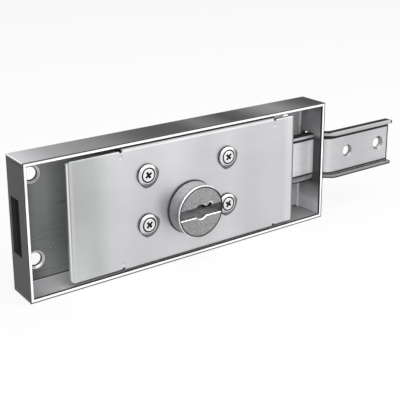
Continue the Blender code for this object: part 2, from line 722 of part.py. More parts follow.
def crank_line(x_low, x_high):
    """X and depth of the bolt's back face, with its forward crank outside the end wall."""
    start = WALL_X + CRANK_GAP
    points = [(x_low, BOLT_BACK_DEPTH)]
    for i in range(CRANK_STEPS + 1):
        share = i / CRANK_STEPS
        rise = BOLT_CRANK * (1 - math.cos(math.pi * share)) / 2
        points.append((start + CRANK_LENGTH * share, BOLT_BACK_DEPTH - rise))
    points.append((x_high, BOLT_BACK_DEPTH - BOLT_CRANK))
    return points


def shifted_line(points, distance):
    """A line set off towards the front by a distance along its own normals."""
    shifted = []
    for i, (x, depth) in enumerate(points):
        before = points[max(i - 1, 0)]
        after = points[min(i + 1, len(points) - 1)]
        slope = (after[1] - before[1]) / (after[0] - before[0])
        if i in (0, len(points) - 1):
            slope = 0.0
        scale = distance / math.hypot(1.0, slope)
        shifted.append((x + slope * scale, depth - scale))
    return shifted


def upright(name, outline, height, collection):
    """A shape given by X and depth, extruded along Z about the bolt's centre line."""
    points = [(x, depth_y(depth)) for x, depth in outline]
    return extruded(name, [points], height, (0, 0, BOLT_CENTRE_Z), (0, 0, 0), collection)


def tail_outline():
    """The tail plate: talon notch over the key axis, stump lug on top, key clearance below."""
    left = TAIL_START_X - TAIL_LENGTH
    right = TAIL_START_X + OVERSHOOT
    arch_z = KEY_Z + BARREL_DIAMETER / 2 + TAIL_KEY_CLEARANCE
    arch_right = KEY_X + KEY_BIT_RADIUS + 2 * TAIL_KEY_CLEARANCE
    talon_x = KEY_X - BOLT_THROW / 2
    talon_left = talon_x - TALON_WIDTH / 2
    talon_right = talon_x + TALON_WIDTH / 2
    talon_z = KEY_Z + KEY_BIT_RADIUS + TAIL_KEY_CLEARANCE
    lug_left = STUMP_X - LUG_WIDTH / 2
    lug_right = STUMP_X + LUG_WIDTH / 2
    corner = TAIL_CORNER_RADIUS
    points = arc(left + corner, arch_z + corner, corner, 180, 270)
    points += [(talon_left, arch_z)]
    points += arc(talon_left + corner, talon_z - corner, corner, 180, 90)
    points += arc(talon_right - corner, talon_z - corner, corner, 90, 0)
    points += [(talon_right, arch_z), (arch_right, arch_z)]
    points += [(arch_right + arch_z - TAIL_BOTTOM_Z, TAIL_BOTTOM_Z), (right, TAIL_BOTTOM_Z)]
    points += [(right, TAIL_TOP_Z), (lug_right, TAIL_TOP_Z)]
    points += arc(lug_right - corner, LUG_TOP_Z - corner, corner, 0, 90)
    points += arc(lug_left + corner, LUG_TOP_Z - corner, corner, 90, 180)
    points += [(lug_left, TAIL_TOP_Z)]
    points += arc(left + corner, TAIL_TOP_Z - corner, corner, 90, 180)
    return points


def guide_slot(x, z):
    """Slot in the tail that lets the bolt travel by its throw past a guide post."""
    radius = GUIDE_DIAMETER / 2 + GAP
    return slot_outline(x - BOLT_THROW - radius, x + radius, z - radius, z + radius)


def make_bolt(axis):
    """Channel-section bolt: inner run, forward crank and outer run, with a flat tail."""
    left = TAIL_START_X - TAIL_LENGTH
    back = crank_line(left, BOLT_END_X)
    front = [(x, depth - BOLT_DEPTH) for x, depth in back]
    bolt = upright("bolt", back + front[::-1], BOLT_HEIGHT, PARTS)
    web_front = shifted_line(crank_line(left - OVERSHOOT, BOLT_END_X + OVERSHOOT), BOLT_WEB)
    ahead = BOLT_FRONT_DEPTH - BOLT_CRANK - OVERSHOOT
    hollow = web_front + [(web_front[-1][0], ahead), (web_front[0][0], ahead)]
    recess = upright("bolt_recess", hollow, BOLT_HEIGHT - 2 * BOLT_LIP, CUTTERS)
    cut(bolt, recess)
    through_front = BOLT_FRONT_DEPTH - OVERSHOOT
    trim_depth = TAIL_FRONT_DEPTH - through_front
    beyond = left - OVERSHOOT
    low_z = BOLT_CENTRE_Z - BOLT_HEIGHT
    high_z = BOLT_CENTRE_Z + BOLT_HEIGHT
    zone = [(beyond, low_z), (TAIL_START_X, low_z), (TAIL_START_X, high_z), (beyond, high_z)]
    cut(bolt, plate("tail_front_trim", [zone], through_front, trim_depth, CUTTERS))
    total = BOLT_DEPTH + 2 * OVERSHOOT
    lug = plate("tail_sheet", [tail_outline()], TAIL_FRONT_DEPTH, BOLT_WEB, CUTTERS)
    cut(bolt, plate("tail_trim", [zone], through_front, total, CUTTERS))
    join_with(bolt, lug)
    for name, (x, z) in GUIDE_POSTS.items():
        cut(bolt, plate(f"guide_slot_{name}", [guide_slot(x, z)], through_front, total, CUTTERS))
    spigot = STUMP_SPIGOT_DIAMETER / 2 + GAP
    cut(bolt, drill("stump_hole", STUMP_X, STUMP_Z, spigot, through_front,
                    BOLT_BACK_DEPTH + OVERSHOOT, STUD_STEPS))
    for number, inset in enumerate(BOLT_HOLE_INSETS):
        cut(bolt, bolt_hole(f"bolt_hole_{number}", BOLT_END_X - inset, BOLT_HOLE_SINKS[number]))
    apply_modifiers(bolt)
    smooth(bolt)
    return finish(bolt, BOLT_STEEL, axis)


def bolt_hole(name, x, sink):
    """Cutter of a rod hole in the bolt's outer web, with a chamfer on its front."""
    radius = BOLT_HOLE_DIAMETER / 2
    web_front = TAIL_FRONT_DEPTH - BOLT_CRANK
    back = BOLT_BACK_DEPTH - BOLT_CRANK + OVERSHOOT
    profile = [
        (0, back), (radius, back), (radius, web_front + sink), (radius + sink, web_front),
        (radius + sink, web_front - OVERSHOOT), (0, web_front - OVERSHOOT),
    ]
    return turned(name, profile, x, BOLT_CENTRE_Z, CUTTERS)


def make_stump(axis):
    """Stud on the tail that runs in the levers' gates."""
    radius = STUMP_DIAMETER / 2
    spigot = STUMP_SPIGOT_DIAMETER / 2
    foot = TAIL_FRONT_DEPTH - GAP
    front = foot - STUMP_LENGTH
    profile = [
        (0, BOLT_BACK_DEPTH), (spigot, BOLT_BACK_DEPTH), (spigot, foot), (radius, foot),
        (radius, front + STUMP_CHAMFER), (radius - STUMP_CHAMFER, front), (0, front),
    ]
    stump = turned("bolt_stump", profile, STUMP_X, STUMP_Z, steps=STUD_STEPS)
    apply_modifiers(stump)
    smooth(stump)
    return finish(stump, SCREW_STEEL, axis)


def make_guide_post(name, x, z):
    """Collared stud with a clip groove, riveted into the back, that guides the tail."""
    radius = GUIDE_DIAMETER / 2
    groove = GUIDE_GROOVE_DIAMETER / 2
    collar_front = BOLT_BACK_DEPTH + GAP
    groove_back = TAIL_FRONT_DEPTH
    groove_front = groove_back - CLIP_SHEET - 2 * GAP
    rivet = RIVET_DIAMETER / 2
    profile = [
        (0, CASE_DEPTH), (rivet, CASE_DEPTH), (rivet, POST_BASE_DEPTH),
        (GUIDE_COLLAR_DIAMETER / 2, POST_BASE_DEPTH), (GUIDE_COLLAR_DIAMETER / 2, collar_front),
        (radius, collar_front), (radius, groove_back), (groove, groove_back),
        (groove, groove_front), (radius, groove_front), (radius, groove_front - GUIDE_TIP),
        (0, groove_front - GUIDE_TIP),
    ]
    post = turned(f"bolt_guide_post_{name}", profile, x, z, steps=STUD_STEPS)
    apply_modifiers(post)
    smooth(post)
    return finish(post, SCREW_STEEL)


def make_guide_clip(name, x, z):
    """Open spring clip in the guide post's groove, in front of the tail."""
    outer = CLIP_DIAMETER / 2
    inner = GUIDE_GROOVE_DIAMETER / 2 + GAP
    start = -90 + CLIP_MOUTH_DEG / 2
    end = 270 - CLIP_MOUTH_DEG / 2
    outline = arc(x, z, outer, start, end, ROUND_STEPS)
    outline += arc(x, z, inner, end, start, STUD_STEPS)
    clip = plate(f"guide_clip_{name}", [outline], TAIL_FRONT_DEPTH - GAP - CLIP_SHEET, CLIP_SHEET)
    smooth(clip)
    return finish(clip, SPRING_STEEL)


def gate_outline():
    """Window for the stump: a pocket at each end of the throw, joined by a narrow gate."""
    half_gate = STUMP_DIAMETER / 2 + GAP
    half_pocket = half_gate + LEVER_TRAVEL
    reach = half_gate + POCKET_PLAY / 2
    left = STUMP_X - reach
    left_in = STUMP_X + reach
    right_in = STUMP_X + BOLT_THROW - reach
    right = STUMP_X + BOLT_THROW + reach
    low, high = STUMP_Z - half_pocket, STUMP_Z + half_pocket
    gate_low, gate_high = STUMP_Z - half_gate, STUMP_Z + half_gate
    return [
        (left, low), (left_in, low), (left_in, gate_low), (right_in, gate_low),
        (right_in, low), (right, low), (right, high), (right_in, high),
        (right_in, gate_high), (left_in, gate_high), (left_in, high), (left, high),
    ]


def lever_outline():
    """Plate with a lowered shoulder that stays clear of the spring pin."""
    corner = LEVER_CORNER_RADIUS
    left, right = LEVER_LEFT_X, LEVER_RIGHT_X
    bottom, top = LEVER_BOTTOM_Z, LEVER_TOP_Z
    shoulder = top - LEVER_SHOULDER_DROP
    points = arc(left + corner, bottom + corner, corner, 180, 270, ARC_STEPS // 2)
    points += arc(right - corner, bottom + corner, corner, 270, 360, ARC_STEPS // 2)
    points += arc(right - corner, top - corner, corner, 0, 90, ARC_STEPS // 2)
    points += [(LEVER_SHOULDER_X + LEVER_SHOULDER_DROP / 2, top), (LEVER_SHOULDER_X, shoulder)]
    points += arc(left + corner, shoulder - corner, corner, 90, 180, ARC_STEPS // 2)
    return points


def make_lever(index):
    """Sliding lever at the height to which its key step lifts it, gate in line with the stump."""
    half = LEVER_OPENING_WIDTH / 2
    opening_top = KEY_Z + LEVER_BITTING[index] * KEY_BIT_RADIUS
    opening = rounded_box(KEY_X - half, opening_top - LEVER_OPENING_HEIGHT, KEY_X + half,
                          opening_top, 2 * LEVER_CORNER_RADIUS)
    outlines = [lever_outline(), opening, gate_outline()]
    half_slot = LEVER_POST_DIAMETER / 2 + GAP
    for post_z in LEVER_POSTS.values():
        reach = half_slot + LEVER_TRAVEL
        outlines.append(slot_outline(KEY_X - half_slot, KEY_X + half_slot, post_z - reach,
                                     post_z + reach))
    front = LEVER_FRONT_DEPTH + index * LEVER_PITCH
    lever = plate(f"lever_{index + 1}", outlines, front, LEVER_SHEET)
    smooth(lever)
    return finish(lever, BRASS)


def make_lever_post(name, z):
    """Collared stud that guides the levers and holds the stack off the back plate."""
    radius = LEVER_POST_DIAMETER / 2
    collar = LEVER_POST_COLLAR_DIAMETER / 2
    rivet = RIVET_DIAMETER / 2
    profile = [
        (0, CASE_DEPTH), (rivet, CASE_DEPTH), (rivet, POST_BASE_DEPTH),
        (collar, POST_BASE_DEPTH), (collar, TAIL_FRONT_DEPTH), (radius, TAIL_FRONT_DEPTH),
        (radius, POST_FRONT_DEPTH), (0, POST_FRONT_DEPTH),
    ]
    post = turned(f"lever_guide_post_{name}", profile, KEY_X, z, steps=STUD_STEPS)
    apply_modifiers(post)
    smooth(post)
    return finish(post, SCREW_STEEL)


def make_spring_pin():
    """Pin across the case that carries the lever springs."""
    radius = SPRING_PIN_DIAMETER / 2
    rivet = RIVET_DIAMETER / 2
    profile = [
        (0, CASE_DEPTH), (rivet, CASE_DEPTH), (rivet, POST_BASE_DEPTH),
        (radius, POST_BASE_DEPTH - GAP), (radius, POST_FRONT_DEPTH), (0, POST_FRONT_DEPTH),
    ]
    pin = turned("spring_pin", profile, SPRING_PIN_X, SPRING_PIN_Z, steps=STUD_STEPS)
    apply_modifiers(pin)
    smooth(pin)
    return finish(pin, SCREW_STEEL)


def make_lever_spring(index):
    """Wire spring: a loop round the pin and a bowed arm that rests on its lever."""
    wire = SPRING_WIRE_DIAMETER / 2
    loop = SPRING_PIN_DIAMETER / 2 + GAP + wire
    y = depth_y(LEVER_FRONT_DEPTH + index * LEVER_PITCH + LEVER_SHEET / 2)
    points = arc(SPRING_PIN_X, SPRING_PIN_Z, loop, 330, 90, SPRING_LOOP_POINTS)
    start = points[-1]
    tip_z = LEVER_TOP_Z + GAP + wire
    for i in range(1, SPRING_ARM_POINTS + 1):
        share = i / SPRING_ARM_POINTS
        bow = SPRING_BOW * math.sin(math.pi * share)
        x = start[0] + (SPRING_TIP_X - start[0]) * share
        points.append((x, start[1] + (tip_z - start[1]) * share + bow * (1 - share)))
    name = f"lever_spring_{index + 1}"
    curve = bpy.data.curves.new(name, "CURVE")
    curve.dimensions = "3D"
    curve.bevel_depth = wire
    curve.bevel_resolution = 2
    curve.use_fill_caps = True
    spline = curve.splines.new("POLY")
    spline.points.add(len(points) - 1)
    for point, (x, z) in zip(spline.points, points):
        point.co = (x, y, z, 1.0)
    spring = curve_to_mesh(name, curve, (0, 0, 0), (0, 0, 0), PARTS)
    smooth(spring, 60)
    return finish(spring, SPRING_STEEL)


def build_lock():
    head_axis = empty("head_axis", (KEY_X, depth_y(0), KEY_Z))
    bolt_axis = empty("bolt_axis", (WALL_X, depth_y(BOLT_BACK_DEPTH), BOLT_CENTRE_Z))
    make_case()
    make_cover()
    for number, x, z in screw_places():
        make_screw(number, x, z)
        make_pillar(number, x, z)
    make_head(head_axis)
    make_barrel(head_axis)
    make_barrel_seat()
    make_bolt(bolt_axis)
    make_stump(bolt_axis)
    for name, (x, z) in GUIDE_POSTS.items():
        make_guide_post(name, x, z)
        make_guide_clip(name, x, z)
    for index in range(LEVER_COUNT):
        make_lever(index)
        make_lever_spring(index)
    for name, z in LEVER_POSTS.items():
        make_lever_post(name, z)
    make_spring_pin()


build_lock()
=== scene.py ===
"""Studio picture of a roller shutter lock: materials, finer pieces, light and camera."""
import math

import bmesh
import bpy
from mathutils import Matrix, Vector


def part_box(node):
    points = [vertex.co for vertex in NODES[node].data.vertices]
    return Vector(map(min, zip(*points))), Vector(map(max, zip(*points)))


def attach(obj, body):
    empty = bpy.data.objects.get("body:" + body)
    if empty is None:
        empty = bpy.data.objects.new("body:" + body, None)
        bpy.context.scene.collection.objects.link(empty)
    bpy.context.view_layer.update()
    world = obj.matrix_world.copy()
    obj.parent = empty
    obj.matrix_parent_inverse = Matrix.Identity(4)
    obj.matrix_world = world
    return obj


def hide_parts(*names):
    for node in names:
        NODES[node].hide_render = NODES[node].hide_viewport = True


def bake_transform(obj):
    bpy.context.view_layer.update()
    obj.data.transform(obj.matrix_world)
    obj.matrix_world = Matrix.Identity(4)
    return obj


MM = 0.001
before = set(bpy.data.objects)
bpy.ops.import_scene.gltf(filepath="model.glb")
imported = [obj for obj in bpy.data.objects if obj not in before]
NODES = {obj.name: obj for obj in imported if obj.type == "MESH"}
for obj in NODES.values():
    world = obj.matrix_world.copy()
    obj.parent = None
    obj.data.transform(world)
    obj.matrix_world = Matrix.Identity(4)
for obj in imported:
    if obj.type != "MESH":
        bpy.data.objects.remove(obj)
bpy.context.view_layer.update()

# Sizes and places of the solids, from the case's middle in X and Y and from its foot in Z.
CASE_HEIGHT, CASE_MIDDLE_Z, SHEET = 58.0 * MM, 29.0 * MM, 1.5 * MM
CASE_END_X = 77.5 * MM                # outer face of the end walls
INNER_END_X = CASE_END_X - SHEET
PLATE_Y, BACK_Y = 7.0 * MM, 8.5 * MM  # inner and outer faces of the tray's back plate
RIM_Y = -8.5 * MM                     # the case's front rim and the cover's front face
FIXING_X, FIXING_HALF_Z = 67.5 * MM, 18.5 * MM
FIXING_SINK, FIXING_BORE = 4.0 * MM, 3.1 * MM
PILOT_X, PILOT_Z = -60.3 * MM, 13.6 * MM
# Places of a set of four: X and Z of its middle, then half the spacing in X and Z.
SCREWS = (-2.2 * MM, 31.61 * MM, 20.8 * MM, 11.02 * MM)
RELIEF_MARKS = (5.7 * MM, CASE_MIDDLE_Z, 40.75 * MM, 23.4 * MM)
HEAD_X, HEAD_Z, HEAD_RADIUS, HEAD_FACE_Y = -1.0 * MM, 23.49 * MM, 11.6 * MM, -16.7 * MM
BOLT_Z, BOLT_WEB_Y, BOLT_END_X = 29.5 * MM, -5.1 * MM, 126.2 * MM
BOLT_HOLES_X, BOLT_HOLE_HALF = 108.15 * MM, 10.95 * MM
HEAD_GAP = 0.3 * MM                   # from the cover to the undersides of the head and screws

# Sizes of the finer head and its key slot.
HEAD_CHAMFER, HEAD_FOOT_CHAMFER, HEAD_NECK_RADIUS = 0.25 * MM, 0.2 * MM, 7.0 * MM
RIM_WIDTH, GROOVE_WIDTH, GROOVE_SLOPE, GROOVE_DEPTH = 0.2 * MM, 0.35 * MM, 0.05 * MM, 0.5 * MM
SLOT_HALF_X, SLOT_HALF_Z, SLOT_FLARE = 10.7 * MM, 2.15 * MM, 0.35 * MM
STEM_RADIUS, WARD_RADIUS, WARD_X = 3.3 * MM, 1.15 * MM, 4.8 * MM
OVERSHOOT = 5 * MM                    # a cutter's reach past the piece that it cuts
MERGE_DISTANCE = 0.001 * MM           # between corners of a solid that are the same point

# Sizes of the finer screws: head, ring groove, flat disc, shank and cross recess.
SCREW_RADIUS, SCREW_HEIGHT, SCREW_SHOULDER = 4.6 * MM, 1.4 * MM, 0.35 * MM
CROWN_RADIUS, CROWN_STEPS, RING_DEPTH = 3.3 * MM, 8, 0.7 * MM
DISC_RADIUS, SHANK_RADIUS, SHANK_CHAMFER = 2.62 * MM, 2.0 * MM, 0.4 * MM
CROSS_FRONT, CROSS_REAR = (2.3 * MM, 0.66 * MM), (1.2 * MM, 0.4 * MM)  # half length and width
CROSS_REACH = 1 * MM
SCREW_TURNS_DEG = (32, 46, 40, 54)    # of the cross recesses, as in the photo
HEAD_STEPS, SCREW_STEPS = 128, 72

ON_FACE = 0.1 * MM                    # how near to a face counts as on it, for masks
HEAD_SIDE = (11.3 * MM, 11.4 * MM)    # radii between which the head's face ends
# Streak directions of the metals: the noise's scale along each axis.
ALONG_X, ALONG_Y, ALONG_Z, EVEN = (0.02, 1, 1), (1, 0.05, 1), (1, 1, 0.03), (1, 1, 1)
FLOOR_WHITE, FILL_LEVEL = 0.85, 0.5   # share of plain white on the floor, and the fill light

# Tones are (share of the way or place in mm, grey level, warmth); the warmth may be left out.
END_WALL_TONES = (                    # inner faces of the end walls, from the foot up: a painted highlight at the foot, painted shade in the middle, lighter above
    (0.038, 1.0), (0.05, 0.90), (0.12, 0.82), (0.17, 0.50), (0.25, 0.25), (0.30, 0.09),
    (0.68, 0.09), (0.73, 0.45), (0.81, 0.36), (0.95, 0.22),
)
LONG_WALL_TONES = (                   # cloudy reflection on the long walls, from left to right
    (0.01, 0.55), (0.09, 0.32), (0.165, 0.245), (0.24, 0.19), (0.345, 0.08), (0.42, 0.05),
    (0.49, 0.055), (0.55, 0.135), (0.60, 0.10), (0.655, 0.03), (0.705, 0.06), (0.785, 0.19),
    (0.835, 0.215), (0.887, 0.13), (0.94, 0.05), (0.99, 0.02),
)
PLATE_FADES = (                       # across the back plate: start and end in X in mm, tone; painted shade towards the left end, painted light towards the right end
    (-62, -70, 0.14), (-70.5, -72.5, 0.02), (56, 66, 0.70, -0.03),
)
COVER_HALF_SPAN = 60                  # mm, a little past the cover's ends
COVER_TONES = (                       # in mm along X: partly the plate's own cloudy tint, partly painted reflection, with thin painted shade lines and a painted highlight at the ends
    (-59.42, 0.16), (-59.36, 0.97), (-58.8, 0.97), (-58.65, 0.26), (-58.35, 0.26), (-58.1, 0.60),
    (-56.5, 0.47, -0.03), (-48, 0.50, -0.03), (-41, 0.61, -0.01), (-35, 0.62, 0.01),
    (-22, 0.60, -0.01), (-8, 0.64, 0.01), (8, 0.57, -0.01), (20, 0.60, 0.01), (32, 0.55),
    (45, 0.57, 0.01), (52, 0.57), (54.5, 0.63), (57, 0.64), (57.6, 0.22), (58.3, 0.20),
)
SCREW_TONES = ((0.0, 0.82), (0.55, 0.86), (0.7, 0.80), (0.9, 0.64))  # from the middle to 5 mm; darker outwards as painted shade on the flank
LIP_TONES = ((0.0, 0.28), (0.45, 0.30), (0.55, 0.56), (1.0, 0.48))   # lower lip to upper lip; the lower lip is painted darker as shade
CRANK_X = (70 * MM, 90 * MM)
WEB_TONES = (                         # along the crank: painted light on the inner run, painted light and shade across the bend
    (0.2, 0.78), (0.42, 0.40), (0.6, 0.47), (0.73, 0.68), (0.87, 0.56), (1.0, 0.55),
)
DARK_LINE, CONTACT = 0.04, 0.03       # grey levels of painted shade lines along edges and creases, and of painted shade in grooves
EDGE_HIGHLIGHT = 0.95                       # grey level of painted highlights on edges, folds, countersinks and chamfers


def grey(level, warmth=0.0):
    """Neutral grey, a little cool, with an optional rosy or greenish lean."""
    return (level * (1 + warmth), level, level * (1.02 + warmth))


class Shader:
    """A material's node tree, built step by step. matt is a mask of places without lustre."""

    def __init__(self, name):
        self.material = bpy.data.materials.new(name)
        self.material.use_nodes = True
        self.tree = self.material.node_tree
        self.main = self.tree.nodes["Principled BSDF"]
        self.coords = self.tree.nodes.new("ShaderNodeTexCoord")
        self.matt = None

    def feed(self, socket, value):
        """Link a node's output to a socket, or set the socket to a colour or number."""
        if isinstance(value, bpy.types.NodeSocket):
            self.tree.links.new(value, socket)
        elif isinstance(value, tuple):
            socket.default_value = (*value, 1.0)
        else:
            socket.default_value = value

    def position(self, letter):
        """A coordinate of the object."""
        split = self.tree.nodes.new("ShaderNodeSeparateXYZ")
        self.feed(split.inputs["Vector"], self.coords.outputs["Object"])
        return split.outputs[letter]

    def noise(self, scale, stretch, detail, rough, seed=0.0):
        """Grey noise in object space, with the scale in cells a metre along each axis."""
        place = self.tree.nodes.new("ShaderNodeMapping")
        place.inputs["Scale"].default_value = [scale * s for s in stretch]
        place.inputs["Location"].default_value = (seed, seed * 0.7, seed * 1.3)
        self.feed(place.inputs["Vector"], self.coords.outputs["Object"])
        noise = self.tree.nodes.new("ShaderNodeTexNoise")
        noise.inputs["Scale"].default_value = 1.0
        noise.inputs["Detail"].default_value = detail
        noise.inputs["Roughness"].default_value = rough
        self.feed(noise.inputs["Vector"], place.outputs["Vector"])
        return noise.outputs["Fac"]

    def maths(self, operation, first, second=0.0):
        node = self.tree.nodes.new("ShaderNodeMath")
        node.operation = operation
        self.feed(node.inputs[0], first)
        self.feed(node.inputs[1], second)
        return node.outputs["Value"]

    def either(self, first, *others):
        """The largest of several masks."""
        for other in others:
            first = self.maths("MAXIMUM", first, other)
        return first

    def both(self, first, *others):
        """The product of several masks."""
        for other in others:
            first = self.maths("MULTIPLY", first, other)
        return first

    def spread(self, value, low, high, start=0.3, end=0.7):
        """Map a value between two levels onto a new range."""
        node = self.tree.nodes.new("ShaderNodeMapRange")
        node.inputs["From Min"].default_value = start
        node.inputs["From Max"].default_value = end
        node.inputs["To Min"].default_value = low
        node.inputs["To Max"].default_value = high
        self.feed(node.inputs["Value"], value)
        return node.outputs["Result"]

    def rise(self, value, start, end):
        """Mask that goes from zero to one between two values."""
        return self.spread(value, 0.0, 1.0, start, end)

    def fall(self, value, start, end):
        """Mask that goes from one to zero between two values."""
        return self.spread(value, 1.0, 0.0, start, end)

    def band(self, value, low, high, soft):
        """One inside a range of a value and zero outside it, with soft ends."""
        return self.both(self.rise(value, low - soft, low), self.fall(value, high, high + soft))

    def along(self, letter, start, end):
        """Share of the way between two places along an axis of the object."""
        return self.rise(self.position(letter), start, end)

    def off_centre(self, letter, centre):
        """Distance from a plane across an axis."""
        return self.maths("ABSOLUTE", self.maths("SUBTRACT", self.position(letter), centre))

    def wave(self, letter, centre, half):
        """Signed distance along an axis from the nearer of two places."""
        offset = self.maths("SUBTRACT", self.position(letter), centre)
        side = self.maths("MULTIPLY", self.maths("SIGN", offset), half)
        return self.maths("SUBTRACT", offset, side)

    def radius(self, x, z, x_half=0.0, z_half=0.0):
        """Distance from an axis along Y, or from the nearest of four in a rectangle."""
        across = self.maths("SUBTRACT", self.off_centre("X", x), x_half)
        up = self.maths("SUBTRACT", self.off_centre("Z", z), z_half)
        squares = [self.maths("MULTIPLY", value, value) for value in (across, up)]
        return self.maths("SQRT", self.maths("ADD", *squares))

    def screw_side(self):
        """How far a place lies to the lower right of its nearest screw's axis."""
        x, z, x_half, z_half = SCREWS
        return self.maths("SUBTRACT", self.wave("X", x, x_half), self.wave("Z", z, z_half))

    def ramp(self, value, tones):
        """Greys along a value, from (place, level, warmth) tones."""
        node = self.tree.nodes.new("ShaderNodeValToRGB")
        elements = node.color_ramp.elements
        while len(elements) < len(tones):
            elements.new(0.5)
        for element, (place, *tone) in zip(elements, tones):
            element.position = place
            element.color = (*grey(*tone), 1.0)
        self.feed(node.inputs["Fac"], value)
        return node.outputs["Color"]

    def colour_node(self, blend, share, first, second):
        node = self.tree.nodes.new("ShaderNodeMix")
        node.data_type = "RGBA"
        node.blend_type = blend
        self.feed(node.inputs["Factor"], share)
        self.feed(node.inputs[6], first)
        self.feed(node.inputs[7], second)
        return node.outputs[2]

    def mix(self, share, first, second):
        """Blend from one colour to another by a share."""
        return self.colour_node("MIX", share, first, second)

    def tint(self, colour, value):
        """A colour multiplied by a grey value."""
        return self.colour_node("MULTIPLY", 1.0, colour, value)

    def relief(self, height, distance, edge):
        """Bump from a height value, over edges softened by a small radius."""
        soft = self.tree.nodes.new("ShaderNodeBevel")
        soft.samples = 6
        soft.inputs["Radius"].default_value = edge
        bump = self.tree.nodes.new("ShaderNodeBump")
        bump.inputs["Distance"].default_value = distance
        bump.inputs["Strength"].default_value = 1.0
        self.feed(bump.inputs["Height"], height)
        self.feed(bump.inputs["Normal"], soft.outputs["Normal"])
        self.feed(self.main.inputs["Normal"], bump.outputs["Normal"])

    def finish(self, colour, roughness, metallic):
        """Fill the main shader; where matt is one, the surface is neither metallic nor glossy."""
        if self.matt:
            metallic = self.both(self.maths("SUBTRACT", 1.0, self.matt), metallic)
            self.main.inputs["Specular IOR Level"].default_value = 0.0
        self.feed(self.main.inputs["Base Color"], colour)
        self.feed(self.main.inputs["Roughness"], roughness)
        self.feed(self.main.inputs["Metallic"], metallic)
        return self.material


def rolled_metal(name, paint, roughness, metallic=1.0, streak=0.05, stretch=ALONG_X, scale=2500,
                 bump=0.002, edge=0.25, blotch=0.06):
    """Metal with streaks, cloudy plating and softened edges; bump and edge are in mm.

    paint and metallic are a colour and a number, or functions that build them in the shader.
    """
    shader = Shader(name)
    streaks = shader.noise(scale, stretch, 4.0, 0.6)
    clouds = shader.noise(45, EVEN, 3.0, 0.5, seed=3.0)
    grain = shader.noise(6000, EVEN, 2.0, 0.5, seed=7.0)
    tone = shader.both(shader.spread(streaks, 1 - streak, 1 + streak),
                       shader.spread(clouds, 1 - blotch, 1 + blotch))
    rough = shader.maths("ADD", shader.spread(streaks, roughness - 0.05, roughness + 0.07),
                         shader.spread(clouds, -0.03, 0.03))
    height = shader.maths("ADD", streaks, shader.maths("MULTIPLY", grain, 0.4))
    shader.relief(height, bump * MM, edge * MM)
    base = paint(shader) if callable(paint) else paint
    lustre = metallic(shader) if callable(metallic) else metallic
    return shader.finish(shader.tint(base, tone), rough, lustre)


def tray_inside(shader, from_middle_x):
    """Back plate, end walls and floor inside the tray, with painted light, shade and corner lines.
    """
    high = shader.along("Z", 28 * MM, 56 * MM)
    plate = shader.mix(high, grey(0.43, -0.03), grey(0.66, -0.03))
    # Painted shade towards the left end wall, painted light towards the right one.
    for start, end, *tone in PLATE_FADES:
        plate = shader.mix(shader.along("X", start * MM, end * MM), plate, grey(*tone))
    # The end walls are banded with a painted highlight and painted shade.
    end_wall = shader.rise(from_middle_x, INNER_END_X - 0.2 * MM, INNER_END_X - 0.05 * MM)
    end_tones = shader.ramp(shader.along("Z", 0.0, CASE_HEIGHT), END_WALL_TONES)
    plate = shader.mix(end_wall, plate, end_tones)
    floor = shader.mix(shader.along("Y", RIM_Y, PLATE_Y), grey(0.42), grey(1.0))
    # Painted shade line where the floor meets the right end wall.
    floor_end = shader.along("X", INNER_END_X - 0.9 * MM, INNER_END_X - 0.8 * MM)
    floor = shader.mix(floor_end, floor, grey(DARK_LINE))
    # The floor's face lies halfway up this step, so it takes half its own tone, half the plate's.
    inside = shader.mix(shader.along("Z", SHEET - 0.1 * MM, SHEET + 0.1 * MM), floor, plate)
    right_floor = shader.both(shader.along("X", 50 * MM, 60 * MM),
                              shader.along("Z", SHEET + 0.2 * MM, SHEET + 0.1 * MM))
    inside = shader.mix(right_floor, inside, grey(0.26))
    # Painted shade line in the corner between the floor and the back plate.
    floor_corner_shade = shader.both(shader.along("Z", SHEET + 0.6 * MM, SHEET + 0.4 * MM),
                       shader.along("Y", PLATE_Y - 0.3 * MM, PLATE_Y - 0.1 * MM))
    inside = shader.mix(floor_corner_shade, inside, grey(0.06))
    # Painted highlight on the fold between the right end wall and the back plate.
    fold_highlight = shader.both(shader.along("X", INNER_END_X - 1.0 * MM, INNER_END_X - 0.7 * MM),
                       shader.along("Y", PLATE_Y - 0.8 * MM, PLATE_Y - 0.6 * MM))
    return shader.mix(fold_highlight, inside, grey(0.98))


